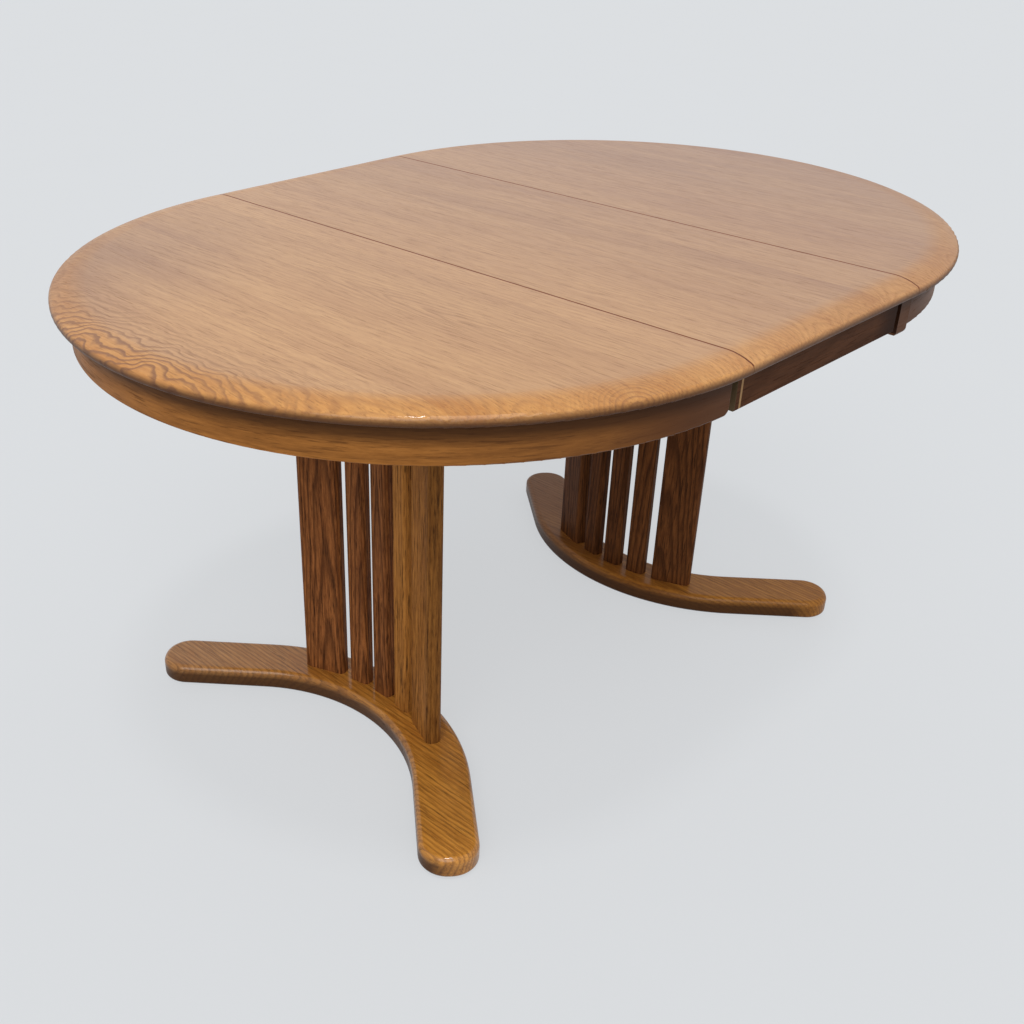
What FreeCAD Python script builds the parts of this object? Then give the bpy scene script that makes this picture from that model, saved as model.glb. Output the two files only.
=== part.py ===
import FreeCAD, Part
import math
import os
import Sketcher

# Oval extension table with one loose leaf between two half-round ends.
# Each end stands on its own trestle: an arched foot, two boards and three slats on the arch, and a bearer.
# Frame: +X along the table, +Y across it, +Z up. The origin is on the floor, under the middle of the leaf.
# The near end is at -X and the far end at +X. The front is at -Y and the back at +Y. Lengths are in mm.

DOCUMENT = FreeCAD.newDocument("extension_table")
HALF_TURN = 180.0
RIGHT_ANGLE = 90.0
TOLERANCE = 1e-4
PINS_IN_A_SEAM = 3
SCREWS_IN_A_RUNNER = 4
FAR_END = FreeCAD.Placement(FreeCAD.Vector(0, 0, 0), FreeCAD.Rotation(FreeCAD.Vector(0, 0, 1), HALF_TURN))
FRONT, BACK = -1, 1
SIDES = {"front": FRONT, "back": BACK}

# ---------------------------------------------------------------- driving dimensions

DRIVING = (
    ("table_height", 740.0, "floor to the upper face of the top"),
    ("top_radius", 525.0, "radius of each half-round end"),
    ("top_thickness", 22.0, "thickness of the solid top"),
    ("leaf_width", 400.0, "width of the loose leaf along the table"),
    ("seam_gap", 0.7, "joint between the leaf and each end"),
    ("seam_bevel", 0.8, "small bevel along the upper edges of a seam"),
    ("roll_run", 36.0, "width of the long curve that rolls the top off to its rim"),
    ("roll_drop", 8.0, "fall of that curve"),
    ("nose_radius", 8.0, "round of the rim's nose"),
    ("lip_radius", 5.0, "round of the rim's lower edge"),
    ("apron_setback", 22.0, "rim to the outer face of the aprons"),
    ("apron_thickness", 18.0, "thickness of every apron"),
    ("apron_depth", 54.0, "depth of every apron below the top"),
    ("apron_end_gap", 4.0, "seam to the end of a curved apron"),
    ("apron_corner_radius", 10.0, "round of a curved apron's lower end corners"),
    ("apron_edge_radius", 2.5, "round of the aprons' lower edges"),
    ("leaf_apron_end_gap", 6.0, "seam to the end of a leaf apron"),
    ("apron_block_length", 28.0, "block at one end of a curved apron, along the table"),
    ("apron_block_drop", 11.0, "how far that block hangs below the apron"),
    ("apron_block_radius", 8.0, "round of the block's foot"),
    ("glue_block_length", 44.0, "length of the glue blocks behind the aprons"),
    ("glue_block_size", 20.0, "width and height of the glue blocks"),
    ("glue_line", 0.2, "glue between a block and a curved apron"),
    ("glue_block_gap", 12.0, "outer runner to the nearest glue block, across the table"),
    ("glue_block_angle", 72.0, "angle from the table's end to the glue blocks nearest the seam"),
    ("leaf_block_place", 60.0, "middle of the leaf to its glue blocks"),
    ("foot_from_seam", 101.3, "seam to the middle of a foot's arch"),
    ("foot_arch_radius", 320.0, "radius of the arch's centre line"),
    ("foot_half_angle", 41.0, "half of the arch's opening angle"),
    ("foot_arm_length", 182.0, "straight arm beyond the arch, to its end"),
    ("foot_width", 88.0, "width of a foot"),
    ("foot_thickness", 34.0, "thickness of a foot"),
    ("foot_end_radius", 42.0, "round of the corners at a foot's ends"),
    ("foot_top_radius", 10.0, "round of a foot's upper edges"),
    ("foot_low_radius", 6.0, "round of a foot's lower edges"),
    ("glide_radius", 14.0, "radius of the glides under a foot"),
    ("glide_thickness", 2.5, "thickness of the glides"),
    ("glide_inset", 46.0, "end of a foot to the middle of its glide"),
    ("board_angle", 21.9, "angle on the arch from its middle to an outer board"),
    ("board_width", 73.0, "width of an outer board"),
    ("board_thickness", 25.0, "thickness of an outer board"),
    ("board_edge_radius", 9.5, "round of an outer board's edges"),
    ("slat_angle", 9.35, "angle on the arch between neighbouring slats"),
    ("slat_width", 37.0, "width of a slat"),
    ("slat_thickness", 23.0, "thickness of a slat"),
    ("slat_edge_radius", 8.0, "round of a slat's edges"),
    ("bearer_width", 92.0, "width of the bearer on top of a trestle, along the table"),
    ("bearer_overhang", 22.0, "outer boards to the ends of the bearer, across the table"),
    ("bearer_thickness", 28.0, "thickness of the bearer"),
    ("bearer_corner_radius", 24.0, "round of the bearer's corners"),
    ("bearer_screw_inset", 12.0, "end of the bearer to its screws"),
    ("bearer_screw_pitch", 50.0, "distance between the bearer's screws along the table"),
    ("dowel_radius", 4.0, "radius of the trestle dowels"),
    ("dowel_reach", 18.0, "length of a dowel in each of its two pieces"),
    ("board_dowel_spread", 40.0, "distance between the two dowels of a board"),
    ("slat_dowel_spread", 17.0, "distance between the two dowels of a slat"),
    ("runner_inner_lane", 228.0, "middle of the table to the inner face of the inner runner"),
    ("runner_width", 20.0, "width of each runner"),
    ("runner_height", 40.0, "height of each runner"),
    ("runner_gap", 1.0, "gap between neighbouring runners"),
    ("runner_reach", 319.3, "seam to the outer end of the runner fixed under an end"),
    ("runner_overlap", 200.0, "overlap of neighbouring runners with the leaf in place"),
    ("runner_drop", 0.5, "gap between a middle runner and the leaf above it"),
    ("tongue_reach", 7.0, "how far a middle runner's tongue stands out"),
    ("tongue_height", 8.0, "height of the tongue"),
    ("tongue_play", 0.4, "clearance of the tongue in its groove"),
    ("groove_stop", 20.0, "solid end of a groove, which stops the tongue"),
    ("extra_travel", 100.0, "how far the far end opens beyond the leaf's seat"),
    ("runner_screw_inset", 24.0, "outer end of a runner to its first screw"),
    ("runner_screw_seam_gap", 49.0, "seam to the last screw of a runner"),
    ("runner_screw_side", 13.0, "grooved face of a runner to its screws"),
    ("screw_shank_radius", 2.3, "radius of a wood screw's shank"),
    ("screw_head_radius", 4.6, "radius of a wood screw's head"),
    ("screw_head_height", 3.0, "height of the countersunk head"),
    ("screw_slot_width", 1.1, "width of the slot in the head"),
    ("screw_slot_depth", 1.2, "depth of the slot in the head"),
    ("screw_bite", 11.0, "length of a screw inside the top"),
    ("screw_play", 0.1, "clearance round a screw, dowel or stud in its hole"),
    ("batten_width", 40.0, "width of the battens under the leaf"),
    ("batten_length", 420.0, "length of the battens, across the table"),
    ("batten_thickness", 20.0, "thickness of the battens"),
    ("batten_place", 110.0, "middle of the leaf to the middle of a batten"),
    ("batten_edge_radius", 4.0, "round of the battens' corners"),
    ("batten_screw_pitch", 180.0, "distance between the screws of a batten"),
    ("pin_radius", 4.0, "radius of the alignment pins in the seams"),
    ("pin_reach", 15.0, "how far a pin stands out of its end"),
    ("pin_depth", 22.0, "length of a pin inside its end"),
    ("pin_level", 12.0, "upper face of the top to the axis of the pins"),
    ("pin_play", 0.3, "clearance of a pin in its slot or socket"),
    ("pin_tip_bevel", 1.2, "bevel at the tip of a pin"),
    ("first_pin", 410.0, "middle of the table to the pin nearest the front"),
    ("pin_pitch", 390.0, "distance between the pins of one end"),
    ("latch_gap", 45.0, "outer runner to the latches' pivots"),
    ("latch_from_seam", 25.0, "seam to a latch's pivot, and to its keeper"),
    ("lever_length", 76.0, "pivot to the end of a latch lever"),
    ("lever_width", 24.0, "width of a latch lever"),
    ("lever_thickness", 3.0, "thickness of a latch lever"),
    ("lever_play", 0.2, "clearance above and below a lever on its pivot"),
    ("lever_corner_radius", 8.0, "round of a lever's corners"),
    ("lever_tab_height", 12.0, "height of the finger tab at a lever's end"),
    ("lever_tab_inset", 4.0, "edges of a lever to its finger tab"),
    ("stud_radius", 3.0, "radius of the pivots and keepers where the lever runs"),
    ("stud_running_play", 0.05, "radial clearance of a lever on its pivot"),
    ("stud_collar_radius", 6.0, "radius of the collar that spaces a lever from the top"),
    ("stud_collar_height", 9.0, "height of that collar"),
    ("stud_head_radius", 5.5, "radius of a stud's head"),
    ("stud_head_height", 2.5, "height of a stud's head"),
    ("stud_thread_radius", 2.2, "radius of a stud's thread"),
    ("hook_play", 1.3, "clearance of a keeper in a lever's hook"),
    ("cut_margin", 1.0, "how far a cut starts outside the face that it opens"),
)


def in_order(first, second):
    """The two sizes, the lower one first."""
    return (first, second) if first.value < second.value else (second, first)


class Size:
    """A length or an angle in degrees: its number, and the spreadsheet expression that gives it."""

    def __init__(self, value, text):
        self.value = value
        self.text = text

    @staticmethod
    def of(item):
        return item if isinstance(item, Size) else Size(float(item), repr(float(item)))

    def join(self, other, sign, value):
        return Size(value, "(%s %s %s)" % (self.text, sign, other.text))

    def __add__(self, other):
        other = Size.of(other)
        return self.join(other, "+", self.value + other.value)

    def __sub__(self, other):
        other = Size.of(other)
        return self.join(other, "-", self.value - other.value)

    def __mul__(self, other):
        other = Size.of(other)
        return self.join(other, "*", self.value * other.value)

    def __truediv__(self, other):
        other = Size.of(other)
        return self.join(other, "/", self.value / other.value)

    def __radd__(self, other):
        return Size.of(other) + self

    def __rsub__(self, other):
        return Size.of(other) - self

    def __rmul__(self, other):
        return Size.of(other) * self

    def __neg__(self):
        return Size.of(0) - self


def sine(angle):
    return Size(math.sin(math.radians(angle.value)), "sin(%s)" % angle.text)


def cosine(angle):
    return Size(math.cos(math.radians(angle.value)), "cos(%s)" % angle.text)


def arctangent(ratio):
    return Size(math.degrees(math.atan(ratio.value)), "atan(%s) / 1deg" % ratio.text)


def arcsine(ratio):
    return Size(math.degrees(math.asin(ratio.value)), "asin(%s) / 1deg" % ratio.text)


def root(square):
    return Size(math.sqrt(square.value), "sqrt(%s)" % square.text)


def fill_sheet():
    """Writes the driving dimensions to the spreadsheet and returns them as sizes."""
    sheet = DOCUMENT.addObject("Spreadsheet::Sheet", "Sizes")
    sizes = {}
    for row, (alias, value, meaning) in enumerate(DRIVING, start=1):
        sheet.set("A%d" % row, meaning)
        sheet.set("B%d" % row, str(value))
        sheet.setAlias("B%d" % row, alias)
        sizes[alias] = Size(value, "Sizes.%s" % alias)
    DOCUMENT.recompute()
    return sizes


S = fill_sheet()

# ---------------------------------------------------------------- sizes that follow from them

UNDERSIDE = S["table_height"] - S["top_thickness"]
SEAM = S["leaf_width"] / 2 + S["seam_gap"]
FOOT_LOW = S["glide_thickness"]
FOOT_TOP = FOOT_LOW + S["foot_thickness"]
BEARER_LOW = UNDERSIDE - S["bearer_thickness"]
FOOT_APEX = SEAM + S["foot_from_seam"]
ARCH_CENTRE = -FOOT_APEX - S["foot_arch_radius"]
APRON_OUTER = S["top_radius"] - S["apron_setback"]
APRON_INNER = APRON_OUTER - S["apron_thickness"]
ROLL_RADIUS = (S["roll_run"] * S["roll_run"] + S["roll_drop"] * S["roll_drop"]) / (2 * S["roll_drop"])
ROLL_SLOPE = 2 * arctangent(S["roll_drop"] / S["roll_run"])
NOSE_RUN = S["nose_radius"] * (1 - sine(ROLL_SLOPE))
NOSE_DROP = S["nose_radius"] * cosine(ROLL_SLOPE)
LANE_STEP = S["runner_width"] + S["runner_gap"]
LANES_OUTER = S["runner_inner_lane"] + 2 * LANE_STEP + S["runner_width"]
LATCH_PLACE = LANES_OUTER + S["latch_gap"]
MARGIN = S["cut_margin"]
RUNNER_LOW = UNDERSIDE - S["runner_height"]
PIN_HEIGHT = S["table_height"] - S["pin_level"]
LEVER_LOW = UNDERSIDE - S["stud_collar_height"] - S["lever_play"] - S["lever_thickness"]
NOTHING = Size.of(0)

# ---------------------------------------------------------------- tools for making pieces


def bind(item, **links):
    """Ties properties of an object to sizes."""
    for name, size in links.items():
        item.setExpression(name, Size.of(size).text)


def place(item, x=NOTHING, y=NOTHING, z=NOTHING):
    """Ties the position of an object to sizes."""
    for axis, size in (("x", x), ("y", y), ("z", z)):
        item.setExpression("Placement.Base.%s" % axis, Size.of(size).text)
    return item


def arc_middle(start, end, radius, turn):
    """The middle of the arc from start to end, which turns left when turn is 1 and right when it is -1."""
    half = (end - start) * 0.5
    sagitta = radius - math.sqrt(max(radius * radius - half.Length ** 2, 0.0))
    outward = FreeCAD.Vector(half.y, -half.x, 0).normalize()
    return start + half + outward * (sagitta * turn)


def outline(body, plane_role, corners, arcs=None):
    """A closed sketch through the corners; arcs gives the radius and turn of its curved edges."""
    arcs = arcs or {}
    plane = next(item for item in body.Origin.OriginFeatures if item.Role == plane_role)
    sketch = body.newObject("Sketcher::SketchObject", "Outline")
    sketch.AttachmentSupport = [(plane, "")]
    sketch.MapMode = "FlatFace"
    points = [FreeCAD.Vector(x.value, y.value, 0) for x, y in corners]
    first_point, last_point = [], []
    for index, start in enumerate(points):
        end = points[(index + 1) % len(points)]
        radius, turn = arcs.get(index, (None, 1))
        if radius is None:
            sketch.addGeometry(Part.LineSegment(start, end), False)
        elif turn > 0:
            sketch.addGeometry(Part.Arc(start, arc_middle(start, end, radius.value, turn), end), False)
        else:
            sketch.addGeometry(Part.Arc(end, arc_middle(start, end, radius.value, turn), start), False)
        first_point.append(1 if turn > 0 else 2)
        last_point.append(2 if turn > 0 else 1)
    for index, (x, y) in enumerate(corners):
        following = (index + 1) % len(corners)
        sketch.addConstraint(
            Sketcher.Constraint("Coincident", index, last_point[index], following, first_point[following])
        )
        for kind, size, axis in (("DistanceX", x, -2), ("DistanceY", y, -1)):
            if size is NOTHING:
                sketch.addConstraint(Sketcher.Constraint("PointOnObject", index, first_point[index], axis))
            else:
                number = sketch.addConstraint(
                    Sketcher.Constraint(kind, -1, 1, index, first_point[index], size.value)
                )
                sketch.setExpression("Constraints[%d]" % number, size.text)
    for index, (radius, _) in arcs.items():
        number = sketch.addConstraint(Sketcher.Constraint("Radius", index, radius.value))
        sketch.setExpression("Constraints[%d]" % number, radius.text)
    return sketch


def new_body(label):
    body = DOCUMENT.addObject("PartDesign::Body", label)
    body.Label = label
    return body


def pad(body, sketch, length, middle=False):
    feature = body.newObject("PartDesign::Pad", "Pad")
    feature.Profile = sketch
    feature.Midplane = middle
    bind(feature, Length=length)
    return feature


def half_revolution(body, sketch):
    """Turns a profile drawn at -X by a quarter each way about the body's own vertical axis."""
    feature = body.newObject("PartDesign::Revolution", "Revolution")
    feature.Profile = sketch
    feature.ReferenceAxis = (sketch, ["V_Axis"])
    feature.Midplane = True
    feature.Angle = HALF_TURN
    return feature


def edge_names(feature, wanted):
    """The names of the edges that the test picks."""
    DOCUMENT.recompute()
    return ["Edge%d" % number for number, edge in enumerate(feature.Shape.Edges, start=1) if wanted(edge)]


def round_off(body, feature, radius, wanted):
    """Rounds the edges that the test picks."""
    names = edge_names(feature, wanted)
    fillet = body.newObject("PartDesign::Fillet", "Fillet")
    fillet.Base = (feature, names)
    bind(fillet, Radius=radius)
    return fillet


def upright(edge):
    """True for an edge that runs straight up."""
    ends = [vertex.Point for vertex in edge.Vertexes]
    return len(ends) == 2 and abs(ends[0].z - ends[1].z) > TOLERANCE and ends[0].isEqual(
        FreeCAD.Vector(ends[1].x, ends[1].y, ends[0].z), TOLERANCE
    )


def level(height):
    """A test for edges that lie wholly at a height."""
    def lies_there(edge):
        box = edge.BoundBox
        return abs(box.ZMin - height) < TOLERANCE and abs(box.ZMax - height) < TOLERANCE
    return lies_there


def turned_rectangle(x, y, angle, along, out):
    """Corners of a rectangle about (x, y), with the first side square to the direction that angle gives."""
    corners = []
    for a_sign, o_sign in ((1, 1), (-1, 1), (-1, -1), (1, -1)):
        a, o = along / 2 * a_sign, out / 2 * o_sign
        corners.append((x - a * sine(angle) + o * cosine(angle), y + a * cosine(angle) + o * sine(angle)))
    return corners


def plank(label, corners, low, high, edge_radius=None):
    """An upright prism over the corners, with its upright edges rounded."""
    body = new_body(label)
    feature = pad(body, outline(body, "XY_Plane", corners), high - low)
    place(body, z=low)
    if edge_radius is not None:
        round_off(body, feature, edge_radius, upright)
    return body


def straight_plank(label, x_low, x_high, y_low, y_high, low, high, edge_radius=None):
    """A plank whose sides are square to the table."""
    corners = [(x_low, y_low), (x_high, y_low), (x_high, y_high), (x_low, y_high)]
    return plank(label, corners, low, high, edge_radius)


def block(x_low, x_high, y_low, y_high, low, high):
    box = DOCUMENT.addObject("Part::Box", "Block")
    bind(box, Length=x_high - x_low, Width=y_high - y_low, Height=high - low)
    return place(box, x_low, y_low, low)


def rod(x, y, low, high, radius):
    """An upright cylinder."""
    cylinder = DOCUMENT.addObject("Part::Cylinder", "Rod")
    bind(cylinder, Radius=radius, Height=high - low)
    return place(cylinder, x, y, low)


def level_rod(x_low, x_high, y, z, radius):
    """A cylinder that lies along the table."""
    cylinder = DOCUMENT.addObject("Part::Cylinder", "LevelRod")
    turn = FreeCAD.Rotation(FreeCAD.Vector(0, 1, 0), RIGHT_ANGLE)
    cylinder.Placement = FreeCAD.Placement(FreeCAD.Vector(0, 0, 0), turn)
    bind(cylinder, Radius=radius, Height=x_high - x_low)
    return place(cylinder, x_low, y, z)


def taper(x, y, low, high, low_radius, high_radius):
    """An upright cone."""
    cone = DOCUMENT.addObject("Part::Cone", "Taper")
    bind(cone, Radius1=low_radius, Radius2=high_radius, Height=high - low)
    return place(cone, x, y, low)


def fuse(items, label="Fused"):
    if len(items) == 1:
        return items[0]
    joined = DOCUMENT.addObject("Part::MultiFuse", label)
    joined.Shapes = items
    joined.Refine = True
    return joined


def cut(label, base, tools):
    """The base with every tool taken out of it."""
    result = DOCUMENT.addObject("Part::Cut", label)
    result.Label = label
    result.Base = base
    result.Tool = fuse(tools)
    result.Refine = False
    return result


def group(label, items):
    """Separate solids that share one name."""
    result = DOCUMENT.addObject("Part::Compound", label)
    result.Label = label
    result.Links = items
    return result


def far_copy(item):
    """The same piece turned round to the far end, where what was in front is at the back."""
    turned = {"near": "far", "front": "back", "back": "front"}
    label = "_".join(turned.get(word, word) for word in item.Label.split("_"))
    result = group(label, [item])
    result.Placement = FAR_END
    return result


# ---------------------------------------------------------------- screws, dowels and studs


def screw(x, y, low, length):
    """A slotted countersunk wood screw with its head at the bottom."""
    head = taper(x, y, low, low + S["screw_head_height"], S["screw_head_radius"], S["screw_shank_radius"])
    shank = rod(x, y, low, low + length, S["screw_shank_radius"])
    slot = block(
        x - S["screw_head_radius"], x + S["screw_head_radius"],
        y - S["screw_slot_width"] / 2, y + S["screw_slot_width"] / 2,
        low, low + S["screw_slot_depth"],
    )
    return cut("Screw", fuse([head, shank]), [slot])


def screw_hole(x, y, low, length):
    """The hole for such a screw, a little wider all round and a little deeper."""
    play = S["screw_play"]
    head = taper(
        x, y, low, low + S["screw_head_height"],
        S["screw_head_radius"] + play, S["screw_shank_radius"] + play,
    )
    shank = rod(x, y, low, low + length + play, S["screw_shank_radius"] + play)
    return [head, shank]


def stud(x, y):
    """A shouldered stud driven up into the top: head, journal, collar and thread."""
    journal_low = UNDERSIDE - S["stud_collar_height"] - S["lever_thickness"] - 2 * S["lever_play"]
    thread_top = UNDERSIDE + S["screw_bite"]
    return fuse([
        rod(x, y, journal_low - S["stud_head_height"], journal_low, S["stud_head_radius"]),
        rod(x, y, journal_low, UNDERSIDE, S["stud_radius"]),
        rod(x, y, UNDERSIDE - S["stud_collar_height"], UNDERSIDE, S["stud_collar_radius"]),
        rod(x, y, UNDERSIDE, thread_top, S["stud_thread_radius"]),
    ], "Stud")


def stud_hole(x, y):
    play = S["screw_play"]
    return rod(x, y, UNDERSIDE, UNDERSIDE + S["screw_bite"] + play, S["stud_thread_radius"] + play)


# ---------------------------------------------------------------- the top


def rim_corners(side):
    """The section of the rim, from the flat of the top round the nose to the underside."""
    radius, thick = S["top_radius"], S["top_thickness"]
    return [
        (side * (radius - NOSE_RUN - S["roll_run"]), thick),
        (side * (radius - NOSE_RUN), thick - S["roll_drop"]),
        (side * radius, thick - S["roll_drop"] - NOSE_DROP),
        (side * radius, S["lip_radius"]),
        (side * (radius - S["lip_radius"]), NOTHING),
    ]


def seam_bevel(x):
    """A long square bar set on its corner, which takes the sharp upper edge off a seam at x."""
    bar = DOCUMENT.addObject("Part::Box", "SeamBevel")
    turn = FreeCAD.Rotation(FreeCAD.Vector(0, 1, 0), RIGHT_ANGLE / 2)
    bar.Placement = FreeCAD.Placement(FreeCAD.Vector(0, 0, 0), turn)
    side = root(2 * S["seam_bevel"] * S["seam_bevel"])
    bind(bar, Length=side, Height=side, Width=2 * S["top_radius"])
    return place(bar, x - S["seam_bevel"], -S["top_radius"], S["table_height"])


def end_pins():
    """Positions of the alignment pins of the near end across the table."""
    return [-S["first_pin"] + S["pin_pitch"] * number for number in range(PINS_IN_A_SEAM)]


def bearer_screws():
    """Positions of the screws that hold the near bearer."""
    middle, reach = bearer_middle(), bearer_reach() - S["bearer_screw_inset"]
    return [(middle + S["bearer_screw_pitch"] / 2 * end, reach * side) for end in (-1, 1) for side in (-1, 1)]


def end_top():
    """The solid half-round panel of the near end, with its pins' holes, sockets and screw holes."""
    body = new_body("near_top_blank")
    thick = S["top_thickness"]
    corners = [(NOTHING, NOTHING), (NOTHING, thick)] + rim_corners(-1)
    arcs = {2: (ROLL_RADIUS, 1), 3: (S["nose_radius"], 1), 5: (S["lip_radius"], 1)}
    half_revolution(body, outline(body, "XZ_Plane", corners, arcs))
    place(body, x=-SEAM, z=UNDERSIDE)
    tools = [seam_bevel(-SEAM)]
    for y in end_pins():
        tools.append(level_rod(
            -SEAM - S["pin_depth"], -SEAM + MARGIN, y, PIN_HEIGHT, S["pin_radius"] + S["screw_play"]
        ))
        tools.append(level_rod(
            -SEAM - S["pin_reach"] - MARGIN, -SEAM + MARGIN, -y, PIN_HEIGHT, S["pin_radius"] + S["pin_play"]
        ))
    for x, y in bearer_screws():
        tools += [rod(x, y, UNDERSIDE, UNDERSIDE + S["screw_bite"] + S["screw_play"],
                      S["screw_shank_radius"] + S["screw_play"])]
    for side in SIDES.values():
        for lane in ("outer", "inner"):
            for x, y in runner_screws(side, lane):
                tools.append(rod(x, y, UNDERSIDE, UNDERSIDE + S["screw_bite"] + S["screw_play"],
                                 S["screw_shank_radius"] + S["screw_play"]))
        tools.append(stud_hole(-SEAM - S["latch_from_seam"], side * LATCH_PLACE))
    return body, tools


def leaf_top():
    """The loose leaf, with a slot open to the underside for each pin, so that it lifts straight out."""
    body = new_body("leaf_top_blank")
    right = rim_corners(1)
    left = rim_corners(-1)
    corners = right + left[::-1]
    arcs = {0: (ROLL_RADIUS, -1), 1: (S["nose_radius"], -1), 3: (S["lip_radius"], -1)}
    arcs.update({5: (S["lip_radius"], -1), 7: (S["nose_radius"], -1), 8: (ROLL_RADIUS, -1)})
    pad(body, outline(body, "YZ_Plane", corners, arcs), S["leaf_width"], middle=True)
    place(body, z=UNDERSIDE)
    edge = S["leaf_width"] / 2
    slot_radius = S["pin_radius"] + S["pin_play"]
    slot_depth = S["pin_reach"] - S["seam_gap"] + MARGIN
    tools = [seam_bevel(-edge), seam_bevel(edge)]
    for end in (-1, 1):
        for pin in end_pins():
            y = -end * pin
            x_low, x_high = in_order(end * (edge - slot_depth), end * (edge + MARGIN))
            tools.append(block(x_low, x_high, y - slot_radius, y + slot_radius,
                               UNDERSIDE - MARGIN, PIN_HEIGHT))
            tools.append(level_rod(x_low, x_high, y, PIN_HEIGHT, slot_radius))
        for side in SIDES.values():
            tools.append(stud_hole(end * (edge - S["latch_from_seam"]), side * LATCH_PLACE))
        for number in (-1, 0, 1):
            tools.append(rod(
                S["batten_place"] * end, S["batten_screw_pitch"] * number,
                UNDERSIDE, UNDERSIDE + S["screw_bite"] + S["screw_play"],
                S["screw_shank_radius"] + S["screw_play"],
            ))
    return cut("leaf_top", body, tools)


def alignment_pin(y):
    """A pin that stands out of the near end's seam, with a bevelled tip."""
    start, tip = -SEAM - S["pin_depth"], -SEAM + S["pin_reach"]
    bevel = S["pin_tip_bevel"]
    shaft = level_rod(start, tip - bevel, y, PIN_HEIGHT, S["pin_radius"])
    cone = DOCUMENT.addObject("Part::Cone", "PinTip")
    turn = FreeCAD.Rotation(FreeCAD.Vector(0, 1, 0), RIGHT_ANGLE)
    cone.Placement = FreeCAD.Placement(FreeCAD.Vector(0, 0, 0), turn)
    bind(cone, Radius1=S["pin_radius"], Radius2=S["pin_radius"] - bevel, Height=bevel)
    place(cone, tip - bevel, y, PIN_HEIGHT)
    return fuse([shaft, cone], "Pin")


# ---------------------------------------------------------------- the aprons


def curved_apron():
    """The bent apron under the near end: one end has a rounded lower corner, the other takes a block."""
    body = new_body("near_apron")
    depth = S["apron_depth"]
    corners = [
        (-APRON_OUTER, NOTHING), (-APRON_INNER, NOTHING), (-APRON_INNER, depth), (-APRON_OUTER, depth),
    ]
    ring = half_revolution(body, outline(body, "XZ_Plane", corners))
    place(body, x=-SEAM, z=UNDERSIDE - depth)
    reach = APRON_OUTER + MARGIN
    plain_end = -S["apron_end_gap"]
    block_end = plain_end - S["apron_block_length"]
    end_trim = [(plain_end, -reach), (MARGIN, -reach), (MARGIN, reach), (block_end, reach),
                (block_end, NOTHING), (plain_end, NOTHING)]
    trim = body.newObject("PartDesign::Pocket", "Pocket")
    trim.Profile = outline(body, "XY_Plane", end_trim)
    trim.Reversed = True
    bind(trim, Length=depth)
    DOCUMENT.recompute()
    if trim.Shape.Volume >= ring.Shape.Volume:
        raise RuntimeError("the ends of the apron were not trimmed")

    def end_corner(edge):
        box = edge.BoundBox
        at_end = box.XLength < TOLERANCE and abs(box.XMin - plain_end.value) < TOLERANCE
        return level(0)(edge) and at_end

    rounded = round_off(body, trim, S["apron_corner_radius"], end_corner)

    def long_lower_edge(edge):
        box = edge.BoundBox
        return level(0)(edge) and box.YLength > APRON_INNER.value

    round_off(body, rounded, S["apron_edge_radius"], long_lower_edge)
    return body


def apron_block():
    """The block with a rounded foot that closes the near apron's other end."""
    x_high = -SEAM - S["apron_end_gap"]
    x_low = x_high - S["apron_block_length"]
    depth = S["apron_depth"] + S["apron_block_drop"]
    corners = [(x_low, APRON_INNER), (x_high, APRON_INNER), (x_high, APRON_OUTER), (x_low, APRON_OUTER)]
    body = new_body("near_apron_block")
    board = pad(body, outline(body, "XY_Plane", corners), depth)
    place(body, z=UNDERSIDE - depth)
    round_off(body, board, S["apron_block_radius"], level(0))
    return body


def leaf_apron(name, side):
    """A straight apron under the leaf."""
    half = S["leaf_width"] / 2 - S["leaf_apron_end_gap"]
    y_low, y_high = in_order(side * APRON_OUTER, side * APRON_INNER)
    label = "leaf_apron_%s" % name
    corners = [(-half, y_low), (half, y_low), (half, y_high), (-half, y_high)]
    body = new_body(label)
    board = pad(body, outline(body, "XY_Plane", corners), S["apron_depth"])
    place(body, z=UNDERSIDE - S["apron_depth"])

    def long_lower_edge(edge):
        return level(0)(edge) and edge.BoundBox.YLength < TOLERANCE

    round_off(body, board, S["apron_edge_radius"], long_lower_edge)
    return body


def glue_blocks():
    """Blocks glued behind the near apron, against the underside of the top."""
    size, length = S["glue_block_size"], S["glue_block_length"]
    middle = root(APRON_INNER * APRON_INNER - length * length / 4) - size / 2 - S["glue_line"]
    beside_runner = arcsine((LANES_OUTER + S["glue_block_gap"] + length / 2) / middle)
    blocks = []
    for turn in (-S["glue_block_angle"], -beside_runner, NOTHING, beside_runner, S["glue_block_angle"]):
        angle = HALF_TURN + turn
        corners = turned_rectangle(
            -SEAM + middle * cosine(angle), middle * sine(angle), angle, length, size
        )
        blocks.append(plank("Block", corners, UNDERSIDE - size, UNDERSIDE))
    return group("near_glue_blocks", blocks)


def leaf_blocks():
    """Blocks glued behind the leaf's aprons."""
    size, half = S["glue_block_size"], S["glue_block_length"] / 2
    blocks = []
    for side in SIDES.values():
        for end in (-1, 1):
            middle = S["leaf_block_place"] * end
            y_low, y_high = in_order(side * APRON_INNER, side * (APRON_INNER - size))
            blocks.append(block(middle - half, middle + half, y_low, y_high, UNDERSIDE - size, UNDERSIDE))
    return group("leaf_glue_blocks", blocks)


# ---------------------------------------------------------------- the trestle


def arch_point(angle, offset=NOTHING):
    """A point over the near foot's arch, at an angle from its middle and an offset along its tangent."""
    radius = S["foot_arch_radius"]
    return (
        ARCH_CENTRE + radius * cosine(angle) - offset * sine(angle),
        radius * sine(angle) + offset * cosine(angle),
    )


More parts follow.
